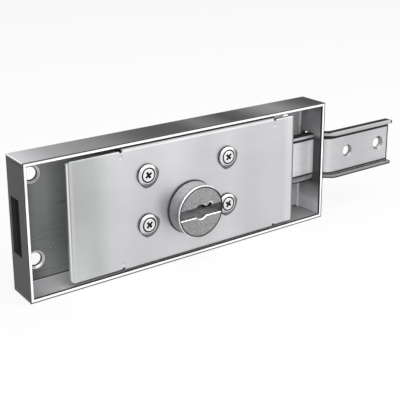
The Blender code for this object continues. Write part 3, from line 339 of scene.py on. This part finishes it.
def case_shade(shader):
    """Plated tray: painted highlights on rim, corners and countersinks, painted cloudy reflection
    on the long walls, ends and edge lines painted dark as shade, and a dull inside.
    """
    from_middle_x = shader.off_centre("X", 0.0)
    from_middle_z = shader.off_centre("Z", CASE_MIDDLE_Z)
    walls = tray_inside(shader, from_middle_x)

    # Painted shade on the inner faces just behind the rim.
    near_rim = shader.along("Y", RIM_Y + 1.2 * MM, RIM_Y + 1.0 * MM)
    walls = shader.mix(near_rim, walls, grey(DARK_LINE))
    long_walls = shader.rise(from_middle_z, CASE_MIDDLE_Z - 0.2 * MM, CASE_MIDDLE_Z - 0.05 * MM)
    clouds = shader.ramp(shader.along("X", -CASE_END_X, CASE_END_X), LONG_WALL_TONES)
    walls = shader.mix(long_walls, walls, clouds)
    # The outer faces of the end walls are painted dark as shade.
    ends = shader.maths("GREATER_THAN", from_middle_x, CASE_END_X - ON_FACE)
    walls = shader.mix(ends, walls, grey(0.085))

    # The cut faces of the bolt slots in the end walls are painted near black as shade.
    cut = shader.band(from_middle_x, INNER_END_X + ON_FACE, CASE_END_X - ON_FACE, 0.02 * MM)
    opening = shader.band(shader.position("Z"), 16 * MM, 43 * MM, 1 * MM)
    before_plate = shader.along("Y", PLATE_Y + 0.7 * MM, PLATE_Y + 0.5 * MM)
    bolt_slots = shader.both(cut, opening, before_plate)
    walls = shader.mix(bolt_slots, walls, grey(0.025))

    walls = shader.mix(shader.along("Y", BACK_Y - 2 * ON_FACE, BACK_Y - ON_FACE), walls, grey(0.55))
    # Painted highlight on the rounded corners where the long walls meet the end walls.
    corner = CASE_END_X + CASE_MIDDLE_Z
    corners = shader.rise(shader.maths("ADD", from_middle_x, from_middle_z),
                          corner - 0.5 * MM, corner - 0.2 * MM)
    walls = shader.mix(corners, walls, grey(EDGE_HIGHLIGHT))
    # Painted highlight in the fixing holes' countersinks; painted shade in their bores and in the
    # pilot hole.
    hole = shader.radius(0.0, CASE_MIDDLE_Z, FIXING_X, FIXING_HALF_Z)
    sink = shader.fall(hole, FIXING_SINK - 0.05 * MM, FIXING_SINK + 0.05 * MM)
    walls = shader.mix(sink, walls, grey(EDGE_HIGHLIGHT))
    pilot = shader.spread(shader.radius(PILOT_X, PILOT_Z), 0.45, 0.0, 0.7 * MM, 0.8 * MM)
    bore = shader.fall(hole, FIXING_BORE - 0.05 * MM, FIXING_BORE + 0.05 * MM)
    bores = shader.either(bore, pilot)
    walls = shader.mix(bores, walls, grey(0.06))

    # Painted highlight on the rim's front face; painted shade lines along its outer edge, on the
    # outer walls' rear edge and on the inner faces just behind the rim.
    rim = shader.along("Y", RIM_Y + 0.3 * MM, RIM_Y + 0.05 * MM)
    walls = shader.mix(rim, walls, grey(0.98))
    past_edge = shader.either(shader.maths("SUBTRACT", from_middle_x, CASE_END_X),
                              shader.maths("SUBTRACT", from_middle_z, CASE_MIDDLE_Z))
    rim_line = shader.both(rim, shader.rise(past_edge, -0.48 * MM, -0.40 * MM))
    back_line = shader.both(shader.either(long_walls, ends),
                            shader.along("Y", PLATE_Y - 0.1 * MM, PLATE_Y + 0.1 * MM))
    rim_shadow = shader.both(near_rim, shader.fall(past_edge, 0.05 * MM - SHEET, 0.1 * MM - SHEET))
    lines = shader.either(rim_line, back_line, rim_shadow)
    shader.matt = shader.either(bolt_slots, bores, lines)
    return shader.mix(lines, walls, grey(DARK_LINE))


def case_lustre(shader):
    """Share of metal: less inside the tray and on its outer walls, none on the tray's floor."""
    dull_share = 0.38
    from_middle_x = shader.off_centre("X", 0.0)
    from_middle_z = shader.off_centre("Z", CASE_MIDDLE_Z)
    inner = shader.both(
        shader.maths("LESS_THAN", from_middle_x, CASE_END_X - 0.8 * MM),
        shader.maths("LESS_THAN", from_middle_z, CASE_MIDDLE_Z - 0.8 * MM),
        shader.maths("LESS_THAN", shader.position("Y"), BACK_Y - 0.3 * MM))
    dull = shader.either(
        inner,
        shader.maths("GREATER_THAN", from_middle_x, CASE_END_X - ON_FACE),
        shader.maths("GREATER_THAN", from_middle_z, CASE_MIDDLE_Z - ON_FACE))
    floor = shader.both(inner, shader.along("Z", SHEET + 0.2 * MM, SHEET + 0.1 * MM))
    return shader.maths("SUBTRACT", shader.spread(dull, 1.0, dull_share, 0.0, 1.0),
                        shader.both(floor, dull_share))


def cover_shade(shader):
    """Satin plate with painted highlights and shade lines at its ends, and painted shadow rings
    where the screws and the head stand on it.
    """
    tones = [((x + COVER_HALF_SPAN) / (2 * COVER_HALF_SPAN), *tone) for x, *tone in COVER_TONES]
    base = shader.ramp(shader.along("X", -COVER_HALF_SPAN * MM, COVER_HALF_SPAN * MM), tones)
    low_left = shader.both(shader.along("Z", 32 * MM, 6 * MM),
                           shader.along("X", -46 * MM, -53 * MM), 0.8)
    base = shader.mix(low_left, base, grey(0.62, -0.02))
    # Painted shade along the top bend.
    base = shader.mix(shader.along("Z", 54.6 * MM, 55.6 * MM), base, grey(0.16))
    # Painted shadow rings round the screws and the head; a screw's ring reaches further out at its
    # lower right, as its cast shadow.
    reach = shader.spread(shader.screw_side(), 4.9 * MM, 6.3 * MM, 0.0, 5.5 * MM)
    under_screw = shader.spread(shader.maths("SUBTRACT", reach, shader.radius(*SCREWS)),
                                0.0, 0.9, 0.0, 0.35 * MM)
    under_head = shader.fall(shader.radius(HEAD_X, HEAD_Z), 11.9 * MM, 12.3 * MM)
    contact = shader.either(under_screw, under_head)
    base = shader.mix(contact, base, grey(0.10))
    marks = shader.spread(shader.radius(*RELIEF_MARKS), 0.8, 0.0, 0.9 * MM, 1.3 * MM)
    shader.matt = shader.either(contact, marks)
    return shader.mix(marks, base, grey(0.50))


def cover_lustre(shader):
    """The left edge, painted bright as a highlight, scatters light; the rest is satin metal."""
    return shader.spread(shader.position("X"), 0.15, 1.0, -58.85 * MM, -58.75 * MM)


def screw_shade(shader):
    """Bright head with painted shade in its ring groove, cross recess and along its edge, and on
    its flank at the lower right.
    """
    ring = shader.radius(*SCREWS)
    groove = shader.band(ring, 2.72 * MM, 3.3 * MM, 0.1 * MM)
    top_y = RIM_Y - HEAD_GAP - SCREW_HEIGHT
    recess = shader.both(shader.fall(ring, 2.3 * MM, 2.4 * MM),
                         shader.along("Y", top_y + 0.08 * MM, top_y + 0.2 * MM))
    edge = shader.rise(ring, 4.5 * MM, 4.56 * MM)
    # Painted shade on the flank at the lower right.
    flank_shade = shader.both(shader.band(ring, 3.75 * MM, 4.15 * MM, 0.1 * MM),
                        shader.spread(shader.screw_side(), 0.0, 0.8, -1 * MM, 2 * MM))
    shader.matt = shader.either(edge, flank_shade, groove, recess)
    bright = shader.ramp(shader.rise(ring, 0.0, 5 * MM), SCREW_TONES)
    return shader.mix(shader.matt, bright, grey(CONTACT))


def head_shade(shader):
    """Cast head: dull face and side, a key slot painted dark as shade, painted highlights on the
    rim and slot edges, painted shade in the ring groove and round the side.
    """
    radius = shader.radius(HEAD_X, HEAD_Z)
    inner = shader.fall(radius, *HEAD_SIDE)
    # In the key slot, painted shade near the mouth and painted light deeper in, for an even dark.
    deep = shader.along("Y", HEAD_FACE_Y + 0.5 * MM, HEAD_FACE_Y + 7 * MM)
    side = shader.mix(inner, grey(0.40), shader.mix(deep, grey(0.13), grey(0.75)))
    # Painted highlight on the rim's chamfer and the slot's flared edges.
    cut = shader.along("Y", HEAD_FACE_Y + 0.42 * MM, HEAD_FACE_Y + 0.38 * MM)
    base = shader.mix(cut, side, grey(EDGE_HIGHLIGHT))
    face = shader.both(shader.along("Y", HEAD_FACE_Y + 0.04 * MM, HEAD_FACE_Y + 0.02 * MM), inner)
    base = shader.mix(face, base, grey(0.31))
    # The rim keeps its painted highlight at the upper left only; its lower right part is painted
    # dark as shade.
    upper_left = shader.maths("SUBTRACT", shader.along("Z", HEAD_Z - 24 * MM, HEAD_Z + 24 * MM),
                              shader.along("X", HEAD_X - 12 * MM, HEAD_X + 12 * MM))
    rim_lower_right_shade = shader.both(shader.fall(upper_left, -0.25, -0.05), cut,
                         shader.rise(radius, 11.1 * MM, 11.2 * MM))
    # Painted shade in the ring groove, a painted contact shadow at the foot of the side, and a
    # half-dark band round the side.
    groove = shader.both(cut, shader.band(radius, 10.72 * MM, 11.12 * MM, 0.06 * MM))
    foot = shader.along("Y", RIM_Y - 1.1 * MM, RIM_Y - 0.9 * MM)
    side_band = shader.band(shader.position("Y"), HEAD_FACE_Y + 1.3 * MM,
                              HEAD_FACE_Y + 1.6 * MM, 0.1 * MM)
    side_lines = shader.both(shader.either(foot, shader.both(side_band, 0.6)),
                             shader.rise(radius, *HEAD_SIDE))
    shader.matt = shader.either(groove, rim_lower_right_shade, side_lines)
    return shader.mix(shader.matt, base, grey(CONTACT))


def head_lustre(shader):
    """The walls of the key slot are duller than the face and the side."""
    inner = shader.fall(shader.radius(HEAD_X, HEAD_Z), *HEAD_SIDE)
    deep = shader.along("Y", HEAD_FACE_Y + 0.4 * MM, HEAD_FACE_Y + 0.5 * MM)
    return shader.spread(shader.both(inner, deep), 1.0, 0.2, 0.0, 1.0)


def bolt_shade(shader):
    """Channel bolt: light web with painted light and shade at its bend; lower lip painted greyer,
    inner corners, outer faces and end painted dark, as shade.
    """
    off = shader.off_centre("Z", BOLT_Z)
    lip = shader.ramp(shader.along("Z", BOLT_Z - 12 * MM, BOLT_Z + 12 * MM), LIP_TONES)
    web = shader.ramp(shader.along("X", *CRANK_X), WEB_TONES)
    base = shader.mix(shader.rise(off, 10.0 * MM, 10.08 * MM), web, lip)
    # The painted shade line in the inner corners is wider at the upper lip than at the lower one.
    corner = shader.spread(shader.position("Z"), 9.1 * MM, 7.9 * MM,
                           BOLT_Z - 1 * MM, BOLT_Z + 1 * MM)
    crease = shader.both(shader.maths("GREATER_THAN", off, corner),
                         shader.maths("LESS_THAN", off, 10.02 * MM))
    # The upper lip's outer face is painted dark as shade only from just before the web's face to
    # its rear.
    behind = shader.either(shader.along("Z", BOLT_Z + 1 * MM, BOLT_Z - 1 * MM),
                           shader.along("Y", BOLT_WEB_Y - 1.2 * MM, BOLT_WEB_Y - 0.9 * MM))
    off_outer = shader.off_centre("Z", BOLT_Z + 0.2 * MM)
    outer = shader.both(shader.maths("GREATER_THAN", off_outer, 11.15 * MM), behind)
    # The bolt's end is painted dark as shade.
    end = shader.maths("GREATER_THAN", shader.position("X"), BOLT_END_X - 0.8 * MM)
    shader.matt = shader.either(crease, outer, end)
    base = shader.mix(shader.matt, base, grey(DARK_LINE))
    # Painted shade inside the two holes.
    hole = shader.radius(BOLT_HOLES_X, BOLT_Z, BOLT_HOLE_HALF)
    sink = shader.both(shader.rise(hole, 3.8 * MM, 3.75 * MM),
                       shader.along("Y", BOLT_WEB_Y + 0.03 * MM, BOLT_WEB_Y + 0.06 * MM))
    return shader.mix(sink, base, grey(0.26))


def bolt_lustre(shader):
    """The run inside the case is duller than the run outside it."""
    return shader.spread(shader.position("X"), 0.25, 1.0, 74 * MM, 82 * MM)


def set_material(material, *names):
    for name in names:
        for slot in NODES[name].material_slots:
            slot.material = material


steel = rolled_metal("zinc_plated_sheet", case_shade, 0.32, case_lustre, streak=0.06,
                     bump=0.0012)
pillar_metal = rolled_metal("zinc_plated_pillar", grey(0.56), 0.32, stretch=ALONG_Y)
cover_metal = rolled_metal("satin_cover_sheet", cover_shade, 0.42, cover_lustre, streak=0.025,
                           blotch=0.03)
screw_metal = rolled_metal("bright_screw", screw_shade, 0.26, stretch=EVEN, streak=0.02,
                           edge=0.1)
post_metal = rolled_metal("bright_post", grey(0.84), 0.22, stretch=ALONG_Y, streak=0.03)
head_metal = rolled_metal("cast_head", head_shade, 0.42, head_lustre, stretch=EVEN, scale=1000,
                          bump=0.10, streak=0.24, edge=0.08)
bolt_metal = rolled_metal("plated_bolt", bolt_shade, 0.30, bolt_lustre)
barrel_metal = rolled_metal("turned_barrel", grey(0.62), 0.40, 0.0, stretch=EVEN)
brass = rolled_metal("lever_brass", (0.72, 0.55, 0.26), 0.30, stretch=ALONG_Z)
spring_metal = rolled_metal("spring_wire", (0.30, 0.31, 0.33), 0.35, stretch=EVEN)

set_material(steel, "case")
set_material(pillar_metal, *[f"screw_pillar_{i}" for i in range(1, 5)])
set_material(cover_metal, "cover_plate")
set_material(post_metal, "bolt_stump", "bolt_guide_post_left", "bolt_guide_post_right",
             "lever_guide_post_upper", "lever_guide_post_lower", "spring_pin")
set_material(bolt_metal, "bolt")
set_material(barrel_metal, "key_barrel", "barrel_seat")
set_material(brass, *[f"lever_{i}" for i in range(1, 6)])
set_material(spring_metal, "guide_clip_left", "guide_clip_right")


def new_piece(name, shape, material):
    mesh = bpy.data.meshes.new(name)
    bmesh.ops.recalc_face_normals(shape, faces=shape.faces)
    shape.to_mesh(mesh)
    shape.free()
    mesh.materials.append(material)
    piece = bpy.data.objects.new(name, mesh)
    bpy.context.scene.collection.objects.link(piece)
    return piece


def turned(name, profile, x, z, material, steps):
    """Solid turned about an axis along Y, from (radius, Y) points that start and end on it."""
    shape = bmesh.new()
    rows = []
    for radius, y in profile:
        if radius == 0:
            rows.append([shape.verts.new((x, y, z))])
            continue
        ring = []
        for i in range(steps):
            angle = 2 * math.pi * i / steps
            point = (x + radius * math.cos(angle), y, z + radius * math.sin(angle))
            ring.append(shape.verts.new(point))
        rows.append(ring)
    for first, second in zip(rows, rows[1:]):
        for i in range(steps):
            j = (i + 1) % steps
            corners = [first[i % len(first)], first[j % len(first)],
                       second[j % len(second)], second[i % len(second)]]
            face = list(dict.fromkeys(corners))  # a triangle where a row is one point
            shape.faces.new(face)
    return new_piece(name, shape, material)


def loft(name, outlines, material):
    """Solid through outlines in X and Z, each at its own depth, front one first."""
    shape = bmesh.new()
    rings = [[shape.verts.new((x, y, z)) for x, z in outline] for y, outline in outlines]
    shape.faces.new(rings[0])
    shape.faces.new(rings[-1][::-1])
    for near, far in zip(rings, rings[1:]):
        for i in range(len(near)):
            j = (i + 1) % len(near)
            shape.faces.new((near[i], far[i], far[j], near[j]))
    return new_piece(name, shape, material)


def carve(piece, *cutters):
    """Cut solids out of a piece and remove them."""
    for cutter in cutters:
        boolean = piece.modifiers.new("cut", "BOOLEAN")
        boolean.operation = "DIFFERENCE"
        boolean.solver = "EXACT"
        boolean.object = cutter
        bpy.context.view_layer.update()
        evaluated = piece.evaluated_get(bpy.context.evaluated_depsgraph_get())
        mesh = bpy.data.meshes.new_from_object(evaluated)
        piece.modifiers.clear()
        piece.data = mesh
        bpy.data.objects.remove(cutter)


def shade_round(piece, angle_deg=32):
    """Smooth shading, but for edges sharper than an angle."""
    piece.data.shade_smooth()
    piece.data.set_sharp_from_angle(angle=math.radians(angle_deg))


def arc(x, z, radius, start_deg, end_deg, steps):
    points = []
    for i in range(steps + 1):
        angle = math.radians(start_deg + (end_deg - start_deg) * i / steps)
        points.append((x + radius * math.cos(angle), z + radius * math.sin(angle)))
    return points


def key_slot_outline(grow):
    """Key slot with a round stem hole in its middle and a ward notch in its upper edge."""
    x, z = HEAD_X, HEAD_Z
    half, long_half = SLOT_HALF_Z + grow, SLOT_HALF_X + grow / 4
    stem, ward = STEM_RADIUS + grow, WARD_RADIUS + grow
    lift = math.degrees(math.asin(half / stem))
    points = [(x - long_half, z - half)]
    points += arc(x, z, stem, 180 + lift, 360 - lift, 16)
    points += [(x + long_half, z - half), (x + long_half, z + half)]
    points += arc(x + WARD_X, z + half, ward, 0, 180, 12)
    points += arc(x, z, stem, lift, 180 - lift, 16)
    points.append((x - long_half, z + half))
    return points


def make_head():
    """Turning head of the key way, with a rim that carries a painted highlight, a ring groove and a
    flared key slot.
    """
    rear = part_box("turning_head")[1].y
    face, foot = HEAD_FACE_Y, RIM_Y - HEAD_GAP
    rim = HEAD_RADIUS - HEAD_CHAMFER
    groove, disc = rim - RIM_WIDTH, rim - RIM_WIDTH - GROOVE_WIDTH
    profile = [
        (0, rear), (HEAD_NECK_RADIUS, rear), (HEAD_NECK_RADIUS, foot),
        (HEAD_RADIUS - HEAD_FOOT_CHAMFER, foot), (HEAD_RADIUS, foot - HEAD_FOOT_CHAMFER),
        (HEAD_RADIUS, face + HEAD_CHAMFER), (rim, face), (groove, face),
        (groove - GROOVE_SLOPE, face + GROOVE_DEPTH), (disc + GROOVE_SLOPE, face + GROOVE_DEPTH),
        (disc, face), (0, face),
    ]
    head = turned("turning_head_fine", profile, HEAD_X, HEAD_Z, head_metal, HEAD_STEPS)
    depths = ((face - SLOT_FLARE, 2 * SLOT_FLARE), (face, SLOT_FLARE), (face + SLOT_FLARE, 0.0),
              (rear + OVERSHOOT, 0.0))
    slot = loft("key_slot", [(y, key_slot_outline(grow)) for y, grow in depths], head_metal)
    carve(head, slot)
    shade_round(head)
    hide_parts("turning_head")
    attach(head, "key_way")


def cross_arm(name, x, z, top, turn):
    """Cutter for one arm of a cross recess, narrower towards its bottom."""
    outlines = []
    for y, (long_half, wide_half) in ((top - CROSS_REACH, CROSS_FRONT),
                                      (top + CROSS_REACH, CROSS_REAR)):
        corners = [(long_half, wide_half), (-long_half, wide_half),
                   (-long_half, -wide_half), (long_half, -wide_half)]
        outlines.append((y, [(x + u * math.cos(turn) - v * math.sin(turn),
                              z + u * math.sin(turn) + v * math.cos(turn)) for u, v in corners]))
    return loft(name, outlines, screw_metal)


def make_screw(number, turn_deg):
    """Low round-head screw with a ring groove, a flat disc and a tapered cross recess."""
    low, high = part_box(f"cover_screw_{number}")
    x, z, tip = (low.x + high.x) / 2, (low.z + high.z) / 2, high.y
    under = RIM_Y - HEAD_GAP
    shoulder, top = under - SCREW_SHOULDER, under - SCREW_HEIGHT
    crown_width, crown_height = SCREW_RADIUS - CROWN_RADIUS, top + 0.2 * MM - shoulder
    profile = [(0, tip), (SHANK_RADIUS - SHANK_CHAMFER, tip), (SHANK_RADIUS, tip - SHANK_CHAMFER),
               (SHANK_RADIUS, under), (SCREW_RADIUS - 0.1 * MM, under),
               (SCREW_RADIUS, under - 0.1 * MM)]
    for step in range(CROWN_STEPS + 1):
        angle = math.pi / 2 * step / CROWN_STEPS
        profile.append((CROWN_RADIUS + crown_width * math.cos(angle),
                        shoulder + crown_height * math.sin(angle)))
    profile += [(CROWN_RADIUS - 0.12 * MM, top + 0.3 * MM),
                (CROWN_RADIUS - 0.2 * MM, top + RING_DEPTH),
                (DISC_RADIUS + 0.15 * MM, top + RING_DEPTH),
                (DISC_RADIUS + 0.05 * MM, top + 0.1 * MM),
                (DISC_RADIUS - 0.1 * MM, top), (0, top)]
    screw = turned(f"cover_screw_fine_{number}", profile, x, z, screw_metal, SCREW_STEPS)
    carve(screw, *[cross_arm(f"cross_{number}_{arm}", x, z, top, math.radians(turn_deg + 90 * arm))
                   for arm in range(2)])
    shade_round(screw)
    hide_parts(f"cover_screw_{number}")
    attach(screw, "case")


def make_spring(number):
    """Wire spring of a lever, round in section, copied from the part and shaded smooth."""
    node = NODES[f"lever_spring_{number}"]
    shape = bmesh.new()
    shape.from_mesh(node.data)
    shape.transform(node.matrix_world)
    bmesh.ops.remove_doubles(shape, verts=shape.verts, dist=MERGE_DISTANCE)
    spring = new_piece(f"lever_spring_fine_{number}", shape, spring_metal)
    shade_round(spring, 60)
    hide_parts(node.name)
    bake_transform(spring)


for lever_number in range(1, 6):
    make_spring(lever_number)
make_head()
for screw_number, screw_turn in enumerate(SCREW_TURNS_DEG, start=1):
    make_screw(screw_number, screw_turn)


def area_light(name, place, target, size, power):
    data = bpy.data.lights.new(name, "AREA")
    data.shape = "RECTANGLE"
    data.size, data.size_y = size
    data.energy = power
    light = bpy.data.objects.new(name, data)
    bpy.context.scene.collection.objects.link(light)
    light.location = place
    aim = Vector(target) - Vector(place)
    light.rotation_euler = aim.to_track_quat("-Z", "Y").to_euler()


def seen(tree):
    """One for rays from the camera and for mirrored or refracted ones, else zero."""
    path = tree.nodes.new("ShaderNodeLightPath")
    share = path.outputs["Is Camera Ray"]
    for name in ("Is Glossy Ray", "Is Transmission Ray"):
        larger = tree.nodes.new("ShaderNodeMath")
        larger.operation = "MAXIMUM"
        tree.links.new(share, larger.inputs[0])
        tree.links.new(path.outputs[name], larger.inputs[1])
        share = larger.outputs["Value"]
    return share


def make_floor():
    """Pale floor just under the object: white where it is seen, but for the object's shadow."""
    mesh = bpy.data.meshes.new("floor")
    shape = bmesh.new()
    bmesh.ops.create_grid(shape, x_segments=1, y_segments=1, size=6.0)
    shape.to_mesh(mesh)
    shape.free()
    floor = bpy.data.objects.new("floor", mesh)
    bpy.context.scene.collection.objects.link(floor)
    floor.location = (0, 0, -0.4 * MM)
    shader = Shader("pale_floor")
    shader.main.inputs["Base Color"].default_value = (*grey(0.85), 1)
    shader.main.inputs["Roughness"].default_value = 0.9
    shader.main.inputs["Specular IOR Level"].default_value = 0.1
    nodes = shader.tree.nodes
    white = nodes.new("ShaderNodeEmission")
    white.inputs["Color"].default_value = (1, 1, 1, 1)
    choice = nodes.new("ShaderNodeMixShader")
    shader.feed(choice.inputs["Fac"], shader.both(seen(shader.tree), FLOOR_WHITE))
    shader.feed(choice.inputs[1], shader.main.outputs["BSDF"])
    shader.feed(choice.inputs[2], white.outputs["Emission"])
    shader.feed(nodes["Material Output"].inputs["Surface"], choice.outputs["Shader"])
    mesh.materials.append(shader.material)


def make_world():
    """White where it is seen, directly or in metal, and a soft even fill light elsewhere."""
    world = bpy.data.worlds.new("studio")
    bpy.context.scene.world = world
    world.use_nodes = True
    tree = world.node_tree
    fill = tree.nodes["Background"]
    fill.inputs["Color"].default_value = (*grey(FILL_LEVEL), 1)
    white = tree.nodes.new("ShaderNodeBackground")
    white.inputs["Color"].default_value = (1, 1, 1, 1)
    choice = tree.nodes.new("ShaderNodeMixShader")
    tree.links.new(seen(tree), choice.inputs["Fac"])
    tree.links.new(fill.outputs["Background"], choice.inputs[1])
    tree.links.new(white.outputs["Background"], choice.inputs[2])
    tree.links.new(choice.outputs["Shader"], tree.nodes["World Output"].inputs["Surface"])


def make_camera():
    data = bpy.data.cameras.new("camera")
    camera = bpy.data.objects.new("camera", data)
    bpy.context.scene.collection.objects.link(camera)
    data.sensor_width = 36.0
    data.lens = 76.52
    data.shift_y = -0.2
    data.clip_start = 0.01
    data.clip_end = 20.0
    camera.location = (-0.19862, -0.29253, 0.15866)
    camera.rotation_euler = [math.radians(a) for a in (74.444, 0.212, -35.597)]
    bpy.context.scene.camera = camera


make_floor()
make_world()
area_light("key", (-0.1, -0.5, 0.9), (0, 0, 0.03), (1.5, 1.1), 10)
area_light("side", (0.7, -0.7, 0.35), (0.05, 0, 0.03), (0.8, 0.8), 3)
make_camera()
bpy.context.scene.view_settings.view_transform = "Standard"
